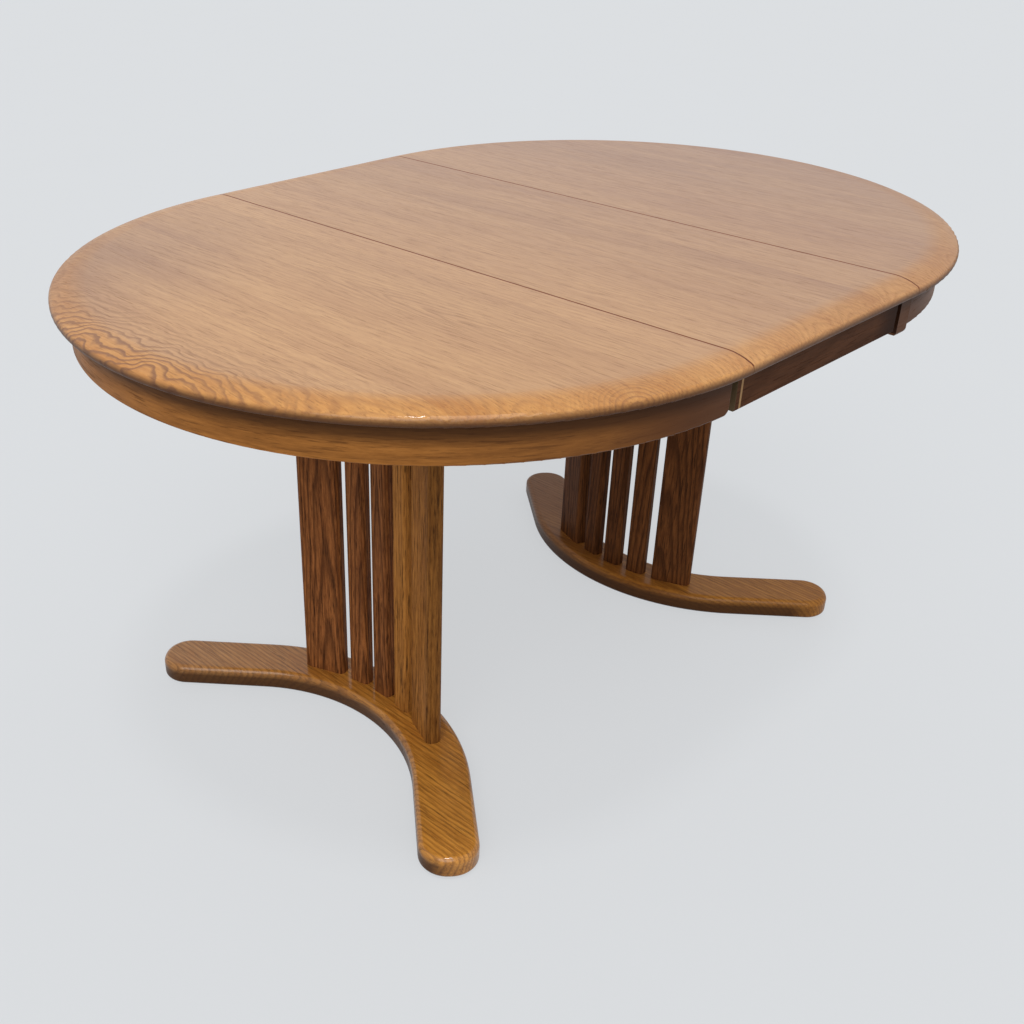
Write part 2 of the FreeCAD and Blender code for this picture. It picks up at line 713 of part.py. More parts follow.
def uprights():
    """Name, angle, width, thickness, edge radius and dowel spread of each board and slat of a trestle."""
    board = (S["board_width"], S["board_thickness"], S["board_edge_radius"], S["board_dowel_spread"])
    slat = (S["slat_width"], S["slat_thickness"], S["slat_edge_radius"], S["slat_dowel_spread"])
    return (
        ("board_front", -S["board_angle"]) + board,
        ("slat_front", -S["slat_angle"]) + slat,
        ("slat_middle", NOTHING) + slat,
        ("slat_back", S["slat_angle"]) + slat,
        ("board_back", S["board_angle"]) + board,
    )


def dowel_places(angle, spread):
    return [arch_point(angle, spread / 2 * sign) for sign in (-1, 1)]


def bearer_middle():
    """The bearer's middle: half way between the slat at the arch's middle and the outer boards."""
    board_x, _ = arch_point(S["board_angle"])
    return (board_x - FOOT_APEX) / 2


def bearer_reach():
    """The middle of the table to an end of the bearer: past the outermost corner of an outer board."""
    _, board_end = arch_point(S["board_angle"], S["board_width"] / 2)
    return board_end + S["board_thickness"] / 2 * sine(S["board_angle"]) + S["bearer_overhang"]


def trestle_foot():
    """The arched foot: an arch with two straight arms, rounded all round."""
    body = new_body("near_foot_blank")
    angle, arm, half = S["foot_half_angle"], S["foot_arm_length"], S["foot_width"] / 2
    outer, inner = S["foot_arch_radius"] + half, S["foot_arch_radius"] - half

    def arm_point(radius, distance, side):
        x = ARCH_CENTRE + radius * cosine(angle) - distance * sine(angle)
        return x, side * (radius * sine(angle) + distance * cosine(angle))

    corners = [
        arm_point(outer, NOTHING, FRONT), arm_point(outer, NOTHING, BACK),
        arm_point(outer, arm, BACK), arm_point(inner, arm, BACK),
        arm_point(inner, NOTHING, BACK), arm_point(inner, NOTHING, FRONT),
        arm_point(inner, arm, FRONT), arm_point(outer, arm, FRONT),
    ]
    arcs = {0: (outer, 1), 4: (inner, -1)}
    slab = pad(body, outline(body, "XY_Plane", corners, arcs), S["foot_thickness"])
    place(body, z=FOOT_LOW)
    end_places = [x.value for x, _ in (corners[2], corners[3])]

    def end_corner(edge):
        return upright(edge) and any(abs(edge.BoundBox.XMin - x) < TOLERANCE for x in end_places)

    ends = round_off(body, slab, S["foot_end_radius"], end_corner)
    upper = round_off(body, ends, S["foot_top_radius"], level(S["foot_thickness"].value))
    round_off(body, upper, S["foot_low_radius"], level(0))
    tools = []
    for _, place_angle, _, _, _, spread in uprights():
        for x, y in dowel_places(place_angle, spread):
            tools.append(rod(x, y, FOOT_TOP - S["dowel_reach"] - S["screw_play"], FOOT_TOP + MARGIN,
                             S["dowel_radius"] + S["screw_play"]))
    return cut("near_foot", body, tools)


def trestle_upright(name, angle, width, thickness, edge_radius, spread):
    """A board or slat that stands on the arch, square to it, with dowel holes in both ends."""
    x, y = arch_point(angle)
    corners = turned_rectangle(x, y, angle, width, thickness)
    blank = plank("near_%s_blank" % name, corners, FOOT_TOP, BEARER_LOW, edge_radius)
    depth, radius = S["dowel_reach"] + S["screw_play"], S["dowel_radius"] + S["screw_play"]
    tools = []
    for hole_x, hole_y in dowel_places(angle, spread):
        tools.append(rod(hole_x, hole_y, FOOT_TOP - MARGIN, FOOT_TOP + depth, radius))
        tools.append(rod(hole_x, hole_y, BEARER_LOW - depth, BEARER_LOW + MARGIN, radius))
    return cut("near_%s" % name, blank, tools)


def trestle_bearer():
    """The bearer on top of the uprights, screwed up to the underside of the top."""
    middle, half, reach = bearer_middle(), S["bearer_width"] / 2, bearer_reach()
    blank = straight_plank("near_bearer_blank", middle - half, middle + half, -reach, reach,
                           BEARER_LOW, UNDERSIDE, S["bearer_corner_radius"])
    tools = []
    for _, angle, _, _, _, spread in uprights():
        for x, y in dowel_places(angle, spread):
            tools.append(rod(x, y, BEARER_LOW - MARGIN, BEARER_LOW + S["dowel_reach"] + S["screw_play"],
                             S["dowel_radius"] + S["screw_play"]))
    for x, y in bearer_screws():
        tools += screw_hole(x, y, BEARER_LOW, S["bearer_thickness"] + S["screw_bite"])
    return cut("near_bearer", blank, tools)


def trestle_dowels():
    dowels = []
    for _, angle, _, _, _, spread in uprights():
        for x, y in dowel_places(angle, spread):
            for joint in (FOOT_TOP, BEARER_LOW):
                low, high = joint - S["dowel_reach"], joint + S["dowel_reach"]
                dowels.append(rod(x, y, low, high, S["dowel_radius"]))
    return group("near_dowels", dowels)


def foot_glides():
    """Three glides under the near foot: one near each end and one under the middle of the arch."""
    angle, radius = S["foot_half_angle"], S["foot_arch_radius"]
    distance = S["foot_arm_length"] - S["glide_inset"]
    x = ARCH_CENTRE + radius * cosine(angle) - distance * sine(angle)
    y = radius * sine(angle) + distance * cosine(angle)
    places = [(x, -y), (-FOOT_APEX, NOTHING), (x, y)]
    return group("near_glides", [rod(px, py, NOTHING, FOOT_LOW, S["glide_radius"]) for px, py in places])


# ---------------------------------------------------------------- the runners


def lane_faces(lane):
    """Inner and outer face of a lane of runners, measured from the middle of the table."""
    number = {"inner": 0, "middle": 1, "outer": 2}[lane]
    inner = S["runner_inner_lane"] + LANE_STEP * number
    return inner, inner + S["runner_width"]


def lane_block(side, x_low, x_high, inner, outer, low, high):
    """A block between two distances from the middle of the table, at the front or at the back."""
    y_low, y_high = in_order(side * inner, side * outer)
    return block(x_low, x_high, y_low, y_high, low, high)


RUNNER_OUTER_END = SEAM + S["runner_reach"]
RUNNER_LENGTH = (RUNNER_OUTER_END + S["runner_overlap"]) * 2 / 3
RUNNER_INNER_END = RUNNER_LENGTH / 2 - S["runner_overlap"]
TONGUE_LOW = RUNNER_LOW + (S["runner_height"] - S["tongue_height"]) / 2
TONGUE_END = RUNNER_INNER_END + S["groove_stop"] + S["extra_travel"] / 2 + S["tongue_play"]


def runner_screws(side, lane):
    """Screws of the near end's runner, or of the far end's one turned round to the near end."""
    inner, outer = lane_faces(lane)
    y = side * (inner + S["runner_screw_side"] if lane == "outer" else outer - S["runner_screw_side"])
    first = -RUNNER_OUTER_END + S["runner_screw_inset"]
    last = -SEAM - S["runner_screw_seam_gap"]
    step = (last - first) / (SCREWS_IN_A_RUNNER - 1)
    return [(first + step * number, y) for number in range(SCREWS_IN_A_RUNNER)]


def end_runner(name, side, lane, end):
    """A runner fixed under one end: the near one in the outer lane, or the far one in the inner lane."""
    inner, outer = lane_faces(lane)
    low, high = RUNNER_LOW, UNDERSIDE
    groove_low = TONGUE_LOW - S["tongue_play"]
    groove_high = TONGUE_LOW + S["tongue_height"] + S["tongue_play"]
    groove_depth = S["tongue_reach"] - S["runner_gap"] + S["tongue_play"]
    stop = RUNNER_INNER_END + S["groove_stop"]
    x_low, x_high = in_order(end * RUNNER_INNER_END, end * RUNNER_OUTER_END)
    groove_start, groove_end = in_order(end * stop, end * (RUNNER_OUTER_END + MARGIN))
    if lane == "outer":
        groove_mouth, groove_floor = inner - MARGIN, inner + groove_depth
    else:
        groove_mouth, groove_floor = outer - groove_depth, outer + MARGIN
    blank = lane_block(side, x_low, x_high, inner, outer, low, high)
    tools = [
        lane_block(side, groove_start, groove_end, groove_mouth, groove_floor, groove_low, groove_high)
    ]
    for x, y in runner_screws(side * -end, lane):
        tools += screw_hole(x * -end, y * -end, low, S["runner_height"] + S["screw_bite"])
    return cut("%s_runner_%s" % ("near" if end < 0 else "far", name), blank, tools)


def runner_screw_group(lane, end):
    screws = []
    for side in SIDES.values():
        for x, y in runner_screws(side, lane):
            screws.append(screw(x * -end, y * -end, RUNNER_LOW, S["runner_height"] + S["screw_bite"]))
    return group("%s_runner_screws" % ("near" if end < 0 else "far"), screws)


def middle_runner(name, side):
    """The runner between them, with a tongue on each face."""
    inner, outer = lane_faces("middle")
    half = RUNNER_LENGTH / 2
    high = UNDERSIDE - S["runner_drop"]
    tongue_high = TONGUE_LOW + S["tongue_height"]
    reach = S["tongue_reach"]
    return named(fuse([
        lane_block(side, -half, half, inner, outer, RUNNER_LOW, high),
        lane_block(side, -half, -TONGUE_END, outer, outer + reach, TONGUE_LOW, tongue_high),
        lane_block(side, TONGUE_END, half, inner - reach, inner, TONGUE_LOW, tongue_high),
    ]), "middle_runner_%s" % name)


def named(item, label):
    item.Label = label
    return item


# ---------------------------------------------------------------- the leaf's battens


def battens():
    """Two battens across the leaf, between the runners, that keep it flat."""
    items = []
    half, reach = S["batten_width"] / 2, S["batten_length"] / 2
    for end in (-1, 1):
        middle = S["batten_place"] * end
        blank = straight_plank("Batten", middle - half, middle + half, -reach, reach,
                               UNDERSIDE - S["batten_thickness"], UNDERSIDE, S["batten_edge_radius"])
        tools = []
        for number in (-1, 0, 1):
            tools += screw_hole(middle, S["batten_screw_pitch"] * number, UNDERSIDE - S["batten_thickness"],
                                S["batten_thickness"] + S["screw_bite"])
        items.append(cut("DrilledBatten", blank, tools))
    return group("leaf_battens", items)


def batten_screws():
    screws = []
    for end in (-1, 1):
        for number in (-1, 0, 1):
            screws.append(screw(S["batten_place"] * end, S["batten_screw_pitch"] * number,
                                UNDERSIDE - S["batten_thickness"], S["batten_thickness"] + S["screw_bite"]))
    return group("leaf_batten_screws", screws)


# ---------------------------------------------------------------- the latches


def latch_lever(name, side):
    """A flat lever, open and pointing outward, with a hook that a quarter turn brings to its keeper."""
    x, y = -SEAM - S["latch_from_seam"], side * LATCH_PLACE
    half, high = S["lever_width"] / 2, LEVER_LOW + S["lever_thickness"]
    to_keeper = 2 * S["latch_from_seam"] + S["seam_gap"]
    free = S["stud_radius"] + S["hook_play"]
    inset, tip = S["lever_tab_inset"], S["lever_length"]

    def across(near, far):
        """The low and high side, across the table, of a span measured outward from the pivot."""
        return in_order(y + side * near, y + side * far)

    plate = straight_plank("Lever", x - half, x + half, *across(-half, tip), LEVER_LOW, high,
                           S["lever_corner_radius"])
    tab = block(x - half + inset, x + half - inset, *across(tip - inset - S["lever_thickness"], tip - inset),
                LEVER_LOW - S["lever_tab_height"], LEVER_LOW)
    entry = root(to_keeper * to_keeper - half * half)
    hook = block(x - free, x + half + MARGIN, *across(entry - free, to_keeper + free),
                 LEVER_LOW - MARGIN, high + MARGIN)
    pivot = rod(x, y, LEVER_LOW - MARGIN, high + MARGIN, S["stud_radius"] + S["stud_running_play"])
    return cut("near_latch_%s" % name, fuse([plate, tab]), [hook, pivot])


def latch_studs(label, x_places):
    return group(label, [stud(x, side * LATCH_PLACE) for x in x_places for side in SIDES.values()])


# ---------------------------------------------------------------- assembly


def build():
    """Makes every piece and returns those that are kept."""
    near = [curved_apron(), apron_block(), glue_blocks()]
    near += [trestle_foot(), trestle_bearer(), trestle_dowels(), foot_glides()]
    near += [trestle_upright(*row) for row in uprights()]
    top_blank, top_tools = end_top()
    near.append(cut("near_top", top_blank, top_tools))
    near.append(group("near_bearer_screws", [
        screw(x, y, BEARER_LOW, S["bearer_thickness"] + S["screw_bite"]) for x, y in bearer_screws()
    ]))
    near.append(group("near_pins", [alignment_pin(y) for y in end_pins()]))
    near.append(latch_studs("near_latch_studs", [-SEAM - S["latch_from_seam"]]))
    near += [latch_lever(name, side) for name, side in SIDES.items()]
    far = [far_copy(item) for item in near]

    keeper = S["leaf_width"] / 2 - S["latch_from_seam"]
    others = [leaf_top(), leaf_blocks(), battens(), batten_screws()]
    others.append(latch_studs("leaf_keepers", [-keeper, keeper]))
    for name, side in SIDES.items():
        others.append(leaf_apron(name, side))
        others.append(end_runner(name, side, "outer", -1))
        others.append(end_runner(name, side, "inner", 1))
        others.append(middle_runner(name, side))
    others.append(runner_screw_group("outer", -1))
    others.append(runner_screw_group("inner", 1))
    return near + far + others


def write(pieces):
    """Checks every object of the document and every piece, then writes one STEP file for each piece."""
    DOCUMENT.recompute()
    for item in DOCUMENT.Objects:
        if "Invalid" in item.State or "Error" in item.State:
            raise RuntimeError("%s is %s" % (item.Label, item.State))
    labels = [piece.Label for piece in pieces]
    if len(set(labels)) != len(labels):
        raise RuntimeError("two pieces share a name")
    for piece in pieces:
        if piece.Shape.isNull() or not piece.Shape.isValid() or not piece.Shape.Solids:
            raise RuntimeError("%s has no valid solid" % piece.Label)
    os.makedirs("parts", exist_ok=True)
    for piece in pieces:
        piece.Shape.exportStep("parts/%s.step" % piece.Label)
        print("%-24s %3d solids %12.1f mm3" % (piece.Label, len(piece.Shape.Solids), piece.Shape.Volume))


write(build())
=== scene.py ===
import math

import bpy
from bpy.props import FloatProperty, FloatVectorProperty, PointerProperty
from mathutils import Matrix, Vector


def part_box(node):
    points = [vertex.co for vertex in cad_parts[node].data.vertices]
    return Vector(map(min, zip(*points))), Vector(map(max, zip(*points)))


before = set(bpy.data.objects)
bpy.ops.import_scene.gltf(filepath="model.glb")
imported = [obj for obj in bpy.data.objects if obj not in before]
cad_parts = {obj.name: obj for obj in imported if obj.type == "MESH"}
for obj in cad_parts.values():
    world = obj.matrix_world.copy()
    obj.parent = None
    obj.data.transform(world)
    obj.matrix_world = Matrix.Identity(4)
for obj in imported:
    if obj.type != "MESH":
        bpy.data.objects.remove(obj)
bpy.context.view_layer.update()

bl_info = {
    "name": "Oval Extension Table",
    "version": (1, 0, 0),
    "blender": (4, 5, 0),
    "location": "View3D > Sidebar > Table",
    "description": "Finishes an oval wooden table with a loose leaf, and sets up its studio",
    "category": "Object",
}


# ---------------------------------------------------------------- shader maths


class Wire:
    """One socket of a node tree, for use in Python expressions."""

    def __init__(self, recipe, socket):
        self.recipe = recipe
        self.socket = socket

    def math(self, operation, *values):
        return self.recipe.math(operation, self, *values)

    def __add__(self, other):
        return self.math("ADD", other)

    def __radd__(self, other):
        return self.math("ADD", other)

    def __sub__(self, other):
        return self.math("SUBTRACT", other)

    def __rsub__(self, other):
        return self.recipe.math("SUBTRACT", other, self)

    def __mul__(self, other):
        return self.math("MULTIPLY", other)

    def __rmul__(self, other):
        return self.math("MULTIPLY", other)

    def __truediv__(self, other):
        return self.math("DIVIDE", other)

    def __neg__(self):
        return self.math("MULTIPLY", -1.0)

    def __abs__(self):
        return self.math("ABSOLUTE")

    def __gt__(self, other):
        return self.math("GREATER_THAN", other)

    def __lt__(self, other):
        return self.math("LESS_THAN", other)


class Recipe:
    """A material or a sky, built node by node."""

    def __init__(self, name, store=None):
        self.holder = (bpy.data.materials if store is None else store).new(name)
        self.holder.use_nodes = True
        self.tree = self.holder.node_tree
        self.tree.nodes.clear()

    def add(self, kind, settings=None, inputs=None, output=0):
        """Adds a node, makes its settings first, and then fills or links its sockets."""
        node = self.tree.nodes.new(kind)
        for name, value in (settings or {}).items():
            if name == "stops":
                self.set_stops(node.color_ramp, value)
            else:
                setattr(node, name, value)
        for key, value in (inputs or {}).items():
            if isinstance(value, Wire):
                self.tree.links.new(value.socket, node.inputs[key])
            else:
                node.inputs[key].default_value = value
        return Wire(self, node.outputs[output]) if len(node.outputs) else None

    @staticmethod
    def set_stops(ramp, stops):
        while len(ramp.elements) < len(stops):
            ramp.elements.new(0.5)
        for element, (position, level) in zip(ramp.elements, stops):
            element.position = position
            element.color = (level, level, level, 1.0)

    def math(self, operation, *values):
        return self.add("ShaderNodeMath", {"operation": operation}, dict(enumerate(values)))

    def place(self):
        """The three coordinates of the shaded point, in metres, on the object itself."""
        point = self.add("ShaderNodeTexCoord", output="Object")
        return [self.add("ShaderNodeSeparateXYZ", None, {0: point}, axis) for axis in "XYZ"]

    def noise(self, x, y, z, detail=3.0, roughness=0.5):
        """Soft noise about zero; each coordinate is scaled before it comes in."""
        vector = self.add("ShaderNodeCombineXYZ", None, {0: x, 1: y, 2: z})
        sockets = {"Vector": vector, "Scale": 1.0, "Detail": detail, "Roughness": roughness}
        return self.add("ShaderNodeTexNoise", {"noise_dimensions": "3D"}, sockets, "Fac") - 0.5

    def even_noise(self, waves, detail=3.0, roughness=0.5):
        """Soft noise about zero with the same waves to the metre every way."""
        return self.noise(*(axis * waves for axis in self.place()), detail, roughness)

    def chance(self, value):
        """A level from 0 to 1 that differs for each whole number."""
        return self.add("ShaderNodeTexWhiteNoise", {"noise_dimensions": "1D"}, {"W": value}, "Value")

    def curve(self, value, *stops):
        """The value bent through stops of (position, level)."""
        return self.add("ShaderNodeValToRGB", {"stops": stops}, {"Fac": value}).math("ADD", 0.0)

    def blend(self, factor, first, second, how="MIX"):
        settings = {"data_type": "RGBA", "blend_type": how}
        return self.add("ShaderNodeMix", settings, {0: factor, 6: first, 7: second}, 2)

    def grey(self, level):
        return self.add("ShaderNodeCombineColor", None, {0: level, 1: level, 2: level})

    def bump(self, height, distance):
        return self.add("ShaderNodeBump", None, {"Height": height, "Distance": distance})

    def late_wood(self, distance, spacing):
        """1 in the dark late wood of each growth ring, 0 in its early wood."""
        phase = (distance / spacing).math("FRACT")
        return self.curve(phase, (0.0, 0.35), (0.1, 0.0), (0.5, 0.12), (0.82, 1.0), (0.94, 1.0), (1.0, 0.35))

    def surface(self, sockets):
        return self.add("ShaderNodeBsdfPrincipled", None, sockets)

    def mirrored_or_seen(self):
        """1 for what the camera sees straight, in a mirror or through glass."""
        rays = [self.add("ShaderNodeLightPath", output=ray)
                for ray in ("Is Camera Ray", "Is Glossy Ray", "Is Transmission Ray")]
        return (rays[0] + rays[1] + rays[2]).math("MINIMUM", 1.0)

    def finish(self, shader, output="ShaderNodeOutputMaterial"):
        self.add(output, None, {"Surface": shader})
        return self.holder


def hypotenuse(first, second):
    return (first * first + second * second).math("SQRT")


def mound(*distances):
    """1 where all distances, given in spreads, are nothing, falling off softly round there."""
    total = distances[0] * distances[0]
    for distance in distances[1:]:
        total = total + distance * distance
    return (-total).math("EXPONENT")


def shade(colour):
    """A linear colour from levels as they show on a screen."""
    linear = [c / 12.92 if c <= 0.04045 else ((c + 0.055) / 1.055) ** 2.4 for c in colour]
    return (*linear, 1.0)


# ---------------------------------------------------------------- wood

# Waves of noise to the metre, along and across the grain.
WANDER = (2.6, 9.0)
SHIVER = (24.0, 60.0)
PORES = (22.0, 420.0)
FLECKS = (60.0, 170.0)
BROAD_TONE = (1.4, 13.0)
MIDDLING_TONE = (6.0, 75.0)
FINE_TONE = (30.0, 300.0)

# Noise and chance keep within half of zero: these bring them to about one.
SWING = 2.0
BROAD_SWING = 3.0

# How far the noise moves on from one plank to the next.
PLANK_STEP = 3.7

# What a plank draws by its number: the place of its heart, the tilt of its grain and its shade.
HEART_SIDE_DRAW, HEART_SIDE_RANGE = 11.5, 0.06
HEART_DEPTH_DRAW, HEART_DEPTH_RANGE = 37.5, 0.03
TILT_DRAW = 71.5
SHADE_DRAW = 5.5

# The tone of a point where all noise is nothing, from 0 for light to 1 for dark.
MIDDLE_TONE = 0.45

# How much rougher than the rest the pores and the late wood are, and how deep the pores lie.
PORE_ROUGHNESS, LATE_ROUGHNESS = 0.16, 0.04
PORE_DEPTH = 0.00006

# How deep a stain on a face reaches into the piece.
SKIN = 0.0004


class Timber:
    """How one kind of piece is sawn, stained and polished. Lengths are in metres, and a level may be a
    number or a wire."""

    ring = 0.004
    line = 0.5
    drift = 0.008
    ripple = 0.0015
    tilt = 0.03
    heart_side = 0.0
    heart_depth = 0.05
    tone = (0.9, 0.7, 0.5)
    pores = 0.5
    plank_change = 0.10
    roughness = 0.38
    specular = 0.5
    coat = 0.0
    coat_roughness = 0.2

    def __init__(self, light, dark, pore, **changes):
        self.light = light
        self.dark = dark
        self.pore = pore
        for name, value in changes.items():
            if not hasattr(self, name):
                raise AttributeError(name)
            setattr(self, name, value)


class Grain:
    """A point in its plank: along the grain, across it, out of the face, and the plank's own number."""

    def __init__(self, recipe, along, across, depth, plank):
        self.recipe = recipe
        self.along = along
        self.across = across
        self.depth = depth
        self.plank = plank

    def noise(self, waves, detail=3.0, roughness=0.5):
        """Noise with these waves to the metre, along and across the grain."""
        along, across = waves
        return self.recipe.noise(self.along * along, self.across * across,
                                 self.depth * across + self.plank * PLANK_STEP, detail, roughness)

    def chance(self, draw):
        """A number about zero that is the plank's own."""
        return self.recipe.chance(self.plank + draw) - 0.5

    def rings(self, timber):
        """The late wood of the timber's rings about its heart."""
        wander = self.noise(WANDER, 2.0) * timber.drift
        side = self.across + timber.heart_side + self.chance(HEART_SIDE_DRAW) * HEART_SIDE_RANGE
        down = self.depth + timber.heart_depth + self.chance(HEART_DEPTH_DRAW) * HEART_DEPTH_RANGE
        down = down + wander * SWING + self.along * self.chance(TILT_DRAW) * timber.tilt * SWING
        distance = hypotenuse(side + wander * BROAD_SWING, down)
        return self.recipe.late_wood(distance + self.noise(SHIVER, 2.0) * timber.ripple, timber.ring)


def polish(grain, timber, tones=None, figures=(), stains=()):
    """The finished wood: a light and a dark tone, the rings and the pores, figures of (mask, distance,
    spacing) that take the place of the rings, and stains of (mask, colour) over all of it."""
    recipe = grain.recipe
    late = grain.rings(timber)
    for mask, distance, spacing in figures:
        late = late + (recipe.late_wood(distance, spacing) - late) * mask
    pore = recipe.curve(grain.noise(PORES, 3.0, 0.7) + 0.5, (0.0, 0.0), (0.54, 0.0), (0.66, 1.0))
    broad, middling, fine = timber.tone
    tone = grain.noise(BROAD_TONE) * broad * BROAD_SWING + grain.noise(MIDDLING_TONE) * middling * SWING
    tone = tone + grain.noise(FINE_TONE, 4.0, 0.75) * fine * SWING + MIDDLE_TONE
    light, dark = tones or (shade(timber.light), shade(timber.dark))
    half_pore = [(a + b) / 2 for a, b in zip(timber.dark, timber.pore)]
    colour = recipe.blend(tone, light, dark)
    colour = recipe.blend(late * timber.line, colour, shade(half_pore))
    colour = recipe.blend(pore * timber.pores, colour, shade(timber.pore))
    level = grain.chance(SHADE_DRAW) * timber.plank_change * SWING + 1.0
    colour = recipe.blend(1.0, colour, recipe.grey(level), "MULTIPLY")
    for mask, stain in stains:
        colour = recipe.blend(mask, colour, shade(stain))
    return recipe.finish(recipe.surface({
        "Base Color": colour,
        "Roughness": pore * PORE_ROUGHNESS + late * LATE_ROUGHNESS + timber.roughness,
        "Normal": recipe.bump(-(pore + late * 0.25), PORE_DEPTH),
        "Specular IOR Level": timber.specular,
        "Coat Weight": timber.coat,
        "Coat Roughness": timber.coat_roughness,
    }))


def box_middle(name):
    low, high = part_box(name)
    return (low + high) / 2


def end_centre():
    """How far the middle of each half-round end lies from the middle of the table."""
    return -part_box("near_top")[1].x


class Spot:
    """The way across and along from one place on the top, and a mound that fades out round it."""

    def __init__(self, x, y, place, spread, *limits):
        self.across = x - place[0]
        self.along = y - place[1]
        self.mask = mound(*limits, self.along / spread[1], self.across / spread[0])


# Figures in the top's near end: their places, their spreads and the spacing of their lines.
FLAME_PLACE, FLAME_SPREAD, FLAME_SPACING = (-0.70, 0.02), (0.34, 0.26), 0.0115
SWIRL_PLACE, SWIRL_SPREAD, SWIRL_SPACING = (-0.385, -0.515), (0.065, 0.05), 0.0055
SPIRE_PLACE, SPIRE_SPREAD, SPIRE_SPACING = (-0.355, -0.12), (0.045, 0.26), 0.008

# How far the flame reaches in from the rim, where its arches turn, and how steeply they bend.
FLAME_REACH, FLAME_EYE, FLAME_BEND = 0.09, -0.05, 1.4

# How far the spires' lines lean, and how blunt their points are, in square metres.
SPIRE_LEAN, SPIRE_BLUNT = 0.10, 0.00004

# How far in from the rim the painted warm reflection of the roll-off begins, and how wide the dust in a seam
# lies.
ROLL_REACH = 0.06
SEAM_REACH = 0.004

# Numbers that keep the planks of either side, and those of the ends and the leaf, apart.
SIDE_NUMBER = 17.0
END_NUMBER = 31.0


def top_wood(look):
    """Planks side by side along the table, with the grain across it, warmer where the rim rolls off as a
    painted reflection, greyer towards the far end as a painted reflection of the room, and with painted shade
    under the nose.
    """
    recipe = Recipe("table_top_wood")
    x, y, z = recipe.place()
    low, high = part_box("near_top")
    offset = abs(x) - look.first_joint
    row = (offset / look.plank_width).math("FLOOR")
    across = offset - (row + 0.5) * look.plank_width
    plank = row + x.math("SIGN") * SIDE_NUMBER + (abs(x) > end_centre()) * END_NUMBER
    grain = Grain(recipe, y, across, z - high.z, plank)
    beyond = (abs(x) - end_centre()).math("MAXIMUM", 0.0)
    inward = high.y - hypotenuse(beyond, y)
    down = (high.z - z) / (high.z - low.z)

    rolled = recipe.curve(inward / ROLL_REACH, (0.0, 1.0), (0.42, 0.9), (0.85, 0.0))
    left = recipe.curve(y, (0.0, 0.0), (0.05, 0.0), (0.32, 0.8))
    left = left * recipe.curve(x + 1.0, (0.5, 1.0), (0.9, 0.0))
    # Painted reflection: the far end takes greyer, mauver tones that stand in for the pale room reflected in
    # its polish; the left of the near end takes the same tones.
    far_reflection_mask = recipe.curve(x * 0.5 + 0.5, (0.0, 0.0), (0.25, 0.0), (0.50, 0.55), (0.85, 1.0))
    far_reflection_mask = far_reflection_mask.math("MAXIMUM", left)
    # Painted reflection: the roll-off takes warmer tones that stand in for the warmer light it reflects, less
    # so at the far end.
    painted_light = rolled * (0.9 - far_reflection_mask * 0.75)
    # Painted shade: the nose below its highlight is darkened, and its coat is taken away there.
    nose = recipe.curve(down, (0.0, 0.0), (0.42, 0.0), (0.55, 0.45), (0.72, 0.85), (1.0, 1.0))
    nose = nose * recipe.curve(inward / ROLL_REACH, (0.0, 1.0), (0.5, 0.9), (0.8, 0.35))
    seam_middle = (end_centre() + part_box("leaf_top")[1].x) / 2
    seam = recipe.curve(abs(abs(x) - seam_middle) / SEAM_REACH, (0.0, 1.0), (0.34, 1.0), (0.46, 0.0))
    seam = seam * recipe.curve(down, (0.0, 1.0), (0.45, 1.0), (0.55, 0.0))
    flecks = recipe.curve(grain.noise(FLECKS, 2.0, 0.6) + 0.5, (0.0, 0.0), (0.745, 0.0), (0.78, 1.0))

    bend = recipe.even_noise(12.0, 2.0, 0.4)
    past_eye = y - FLAME_EYE
    arches = inward + past_eye * past_eye * FLAME_BEND + bend * 0.075 + recipe.even_noise(60.0, 1.0) * 0.010
    flame = Spot(x, y, FLAME_PLACE, FLAME_SPREAD, inward / FLAME_REACH)
    swirl = Spot(x, y, SWIRL_PLACE, SWIRL_SPREAD)
    fan = hypotenuse(swirl.across, swirl.along) + bend * 0.03
    spires = Spot(x, y, SPIRE_PLACE, SPIRE_SPREAD)
    points = (spires.across * spires.across + SPIRE_BLUNT).math("SQRT") + y * SPIRE_LEAN + bend * 0.012

    timber = Timber(look.top_light, look.top_dark, look.top_pore, ring=0.0056, drift=0.006, ripple=0.002,
                    heart_depth=0.06, tone=(0.5, 0.45, 1.0), pores=0.34, plank_change=0.02, roughness=0.42,
                    specular=0.15, coat_roughness=0.10,
                    coat=(1.0 - nose * 0.95) * (1.0 - rolled * far_reflection_mask * 0.8) * 0.55,
                    line=flame.mask * 0.95 + swirl.mask * 0.55 + spires.mask * 0.30 + rolled * 0.14 + 0.13)
    tones = [recipe.blend(painted_light, recipe.blend(far_reflection_mask, shade(near), shade(far)), shade(rim))
             for near, far, rim in ((look.top_light, look.far_reflection_light, look.rim_reflection_light),
                                    (look.top_dark, look.far_reflection_dark, look.rim_reflection_dark))]
    return polish(grain, timber, tones,
                  figures=((flame.mask.math("SQRT"), arches, FLAME_SPACING),
                           (swirl.mask.math("SQRT"), fan, SWIRL_SPACING),
                           (spires.mask, points, SPIRE_SPACING)),
                  stains=((flecks * 0.4, look.top_pore), (nose, look.nose_shade),
                          (seam * 0.95, look.seam_stain)))


# How far the painted shadow under the top, the pale line, the painted shadow by the block and the painted
# shade on a trestle's outside edge reach.
SHADOW_REACH = 0.05
PALE_LINE_REACH = 0.02
BLOCK_SHADOW_REACH = 0.06
EDGE_SHADE_REACH = 0.04


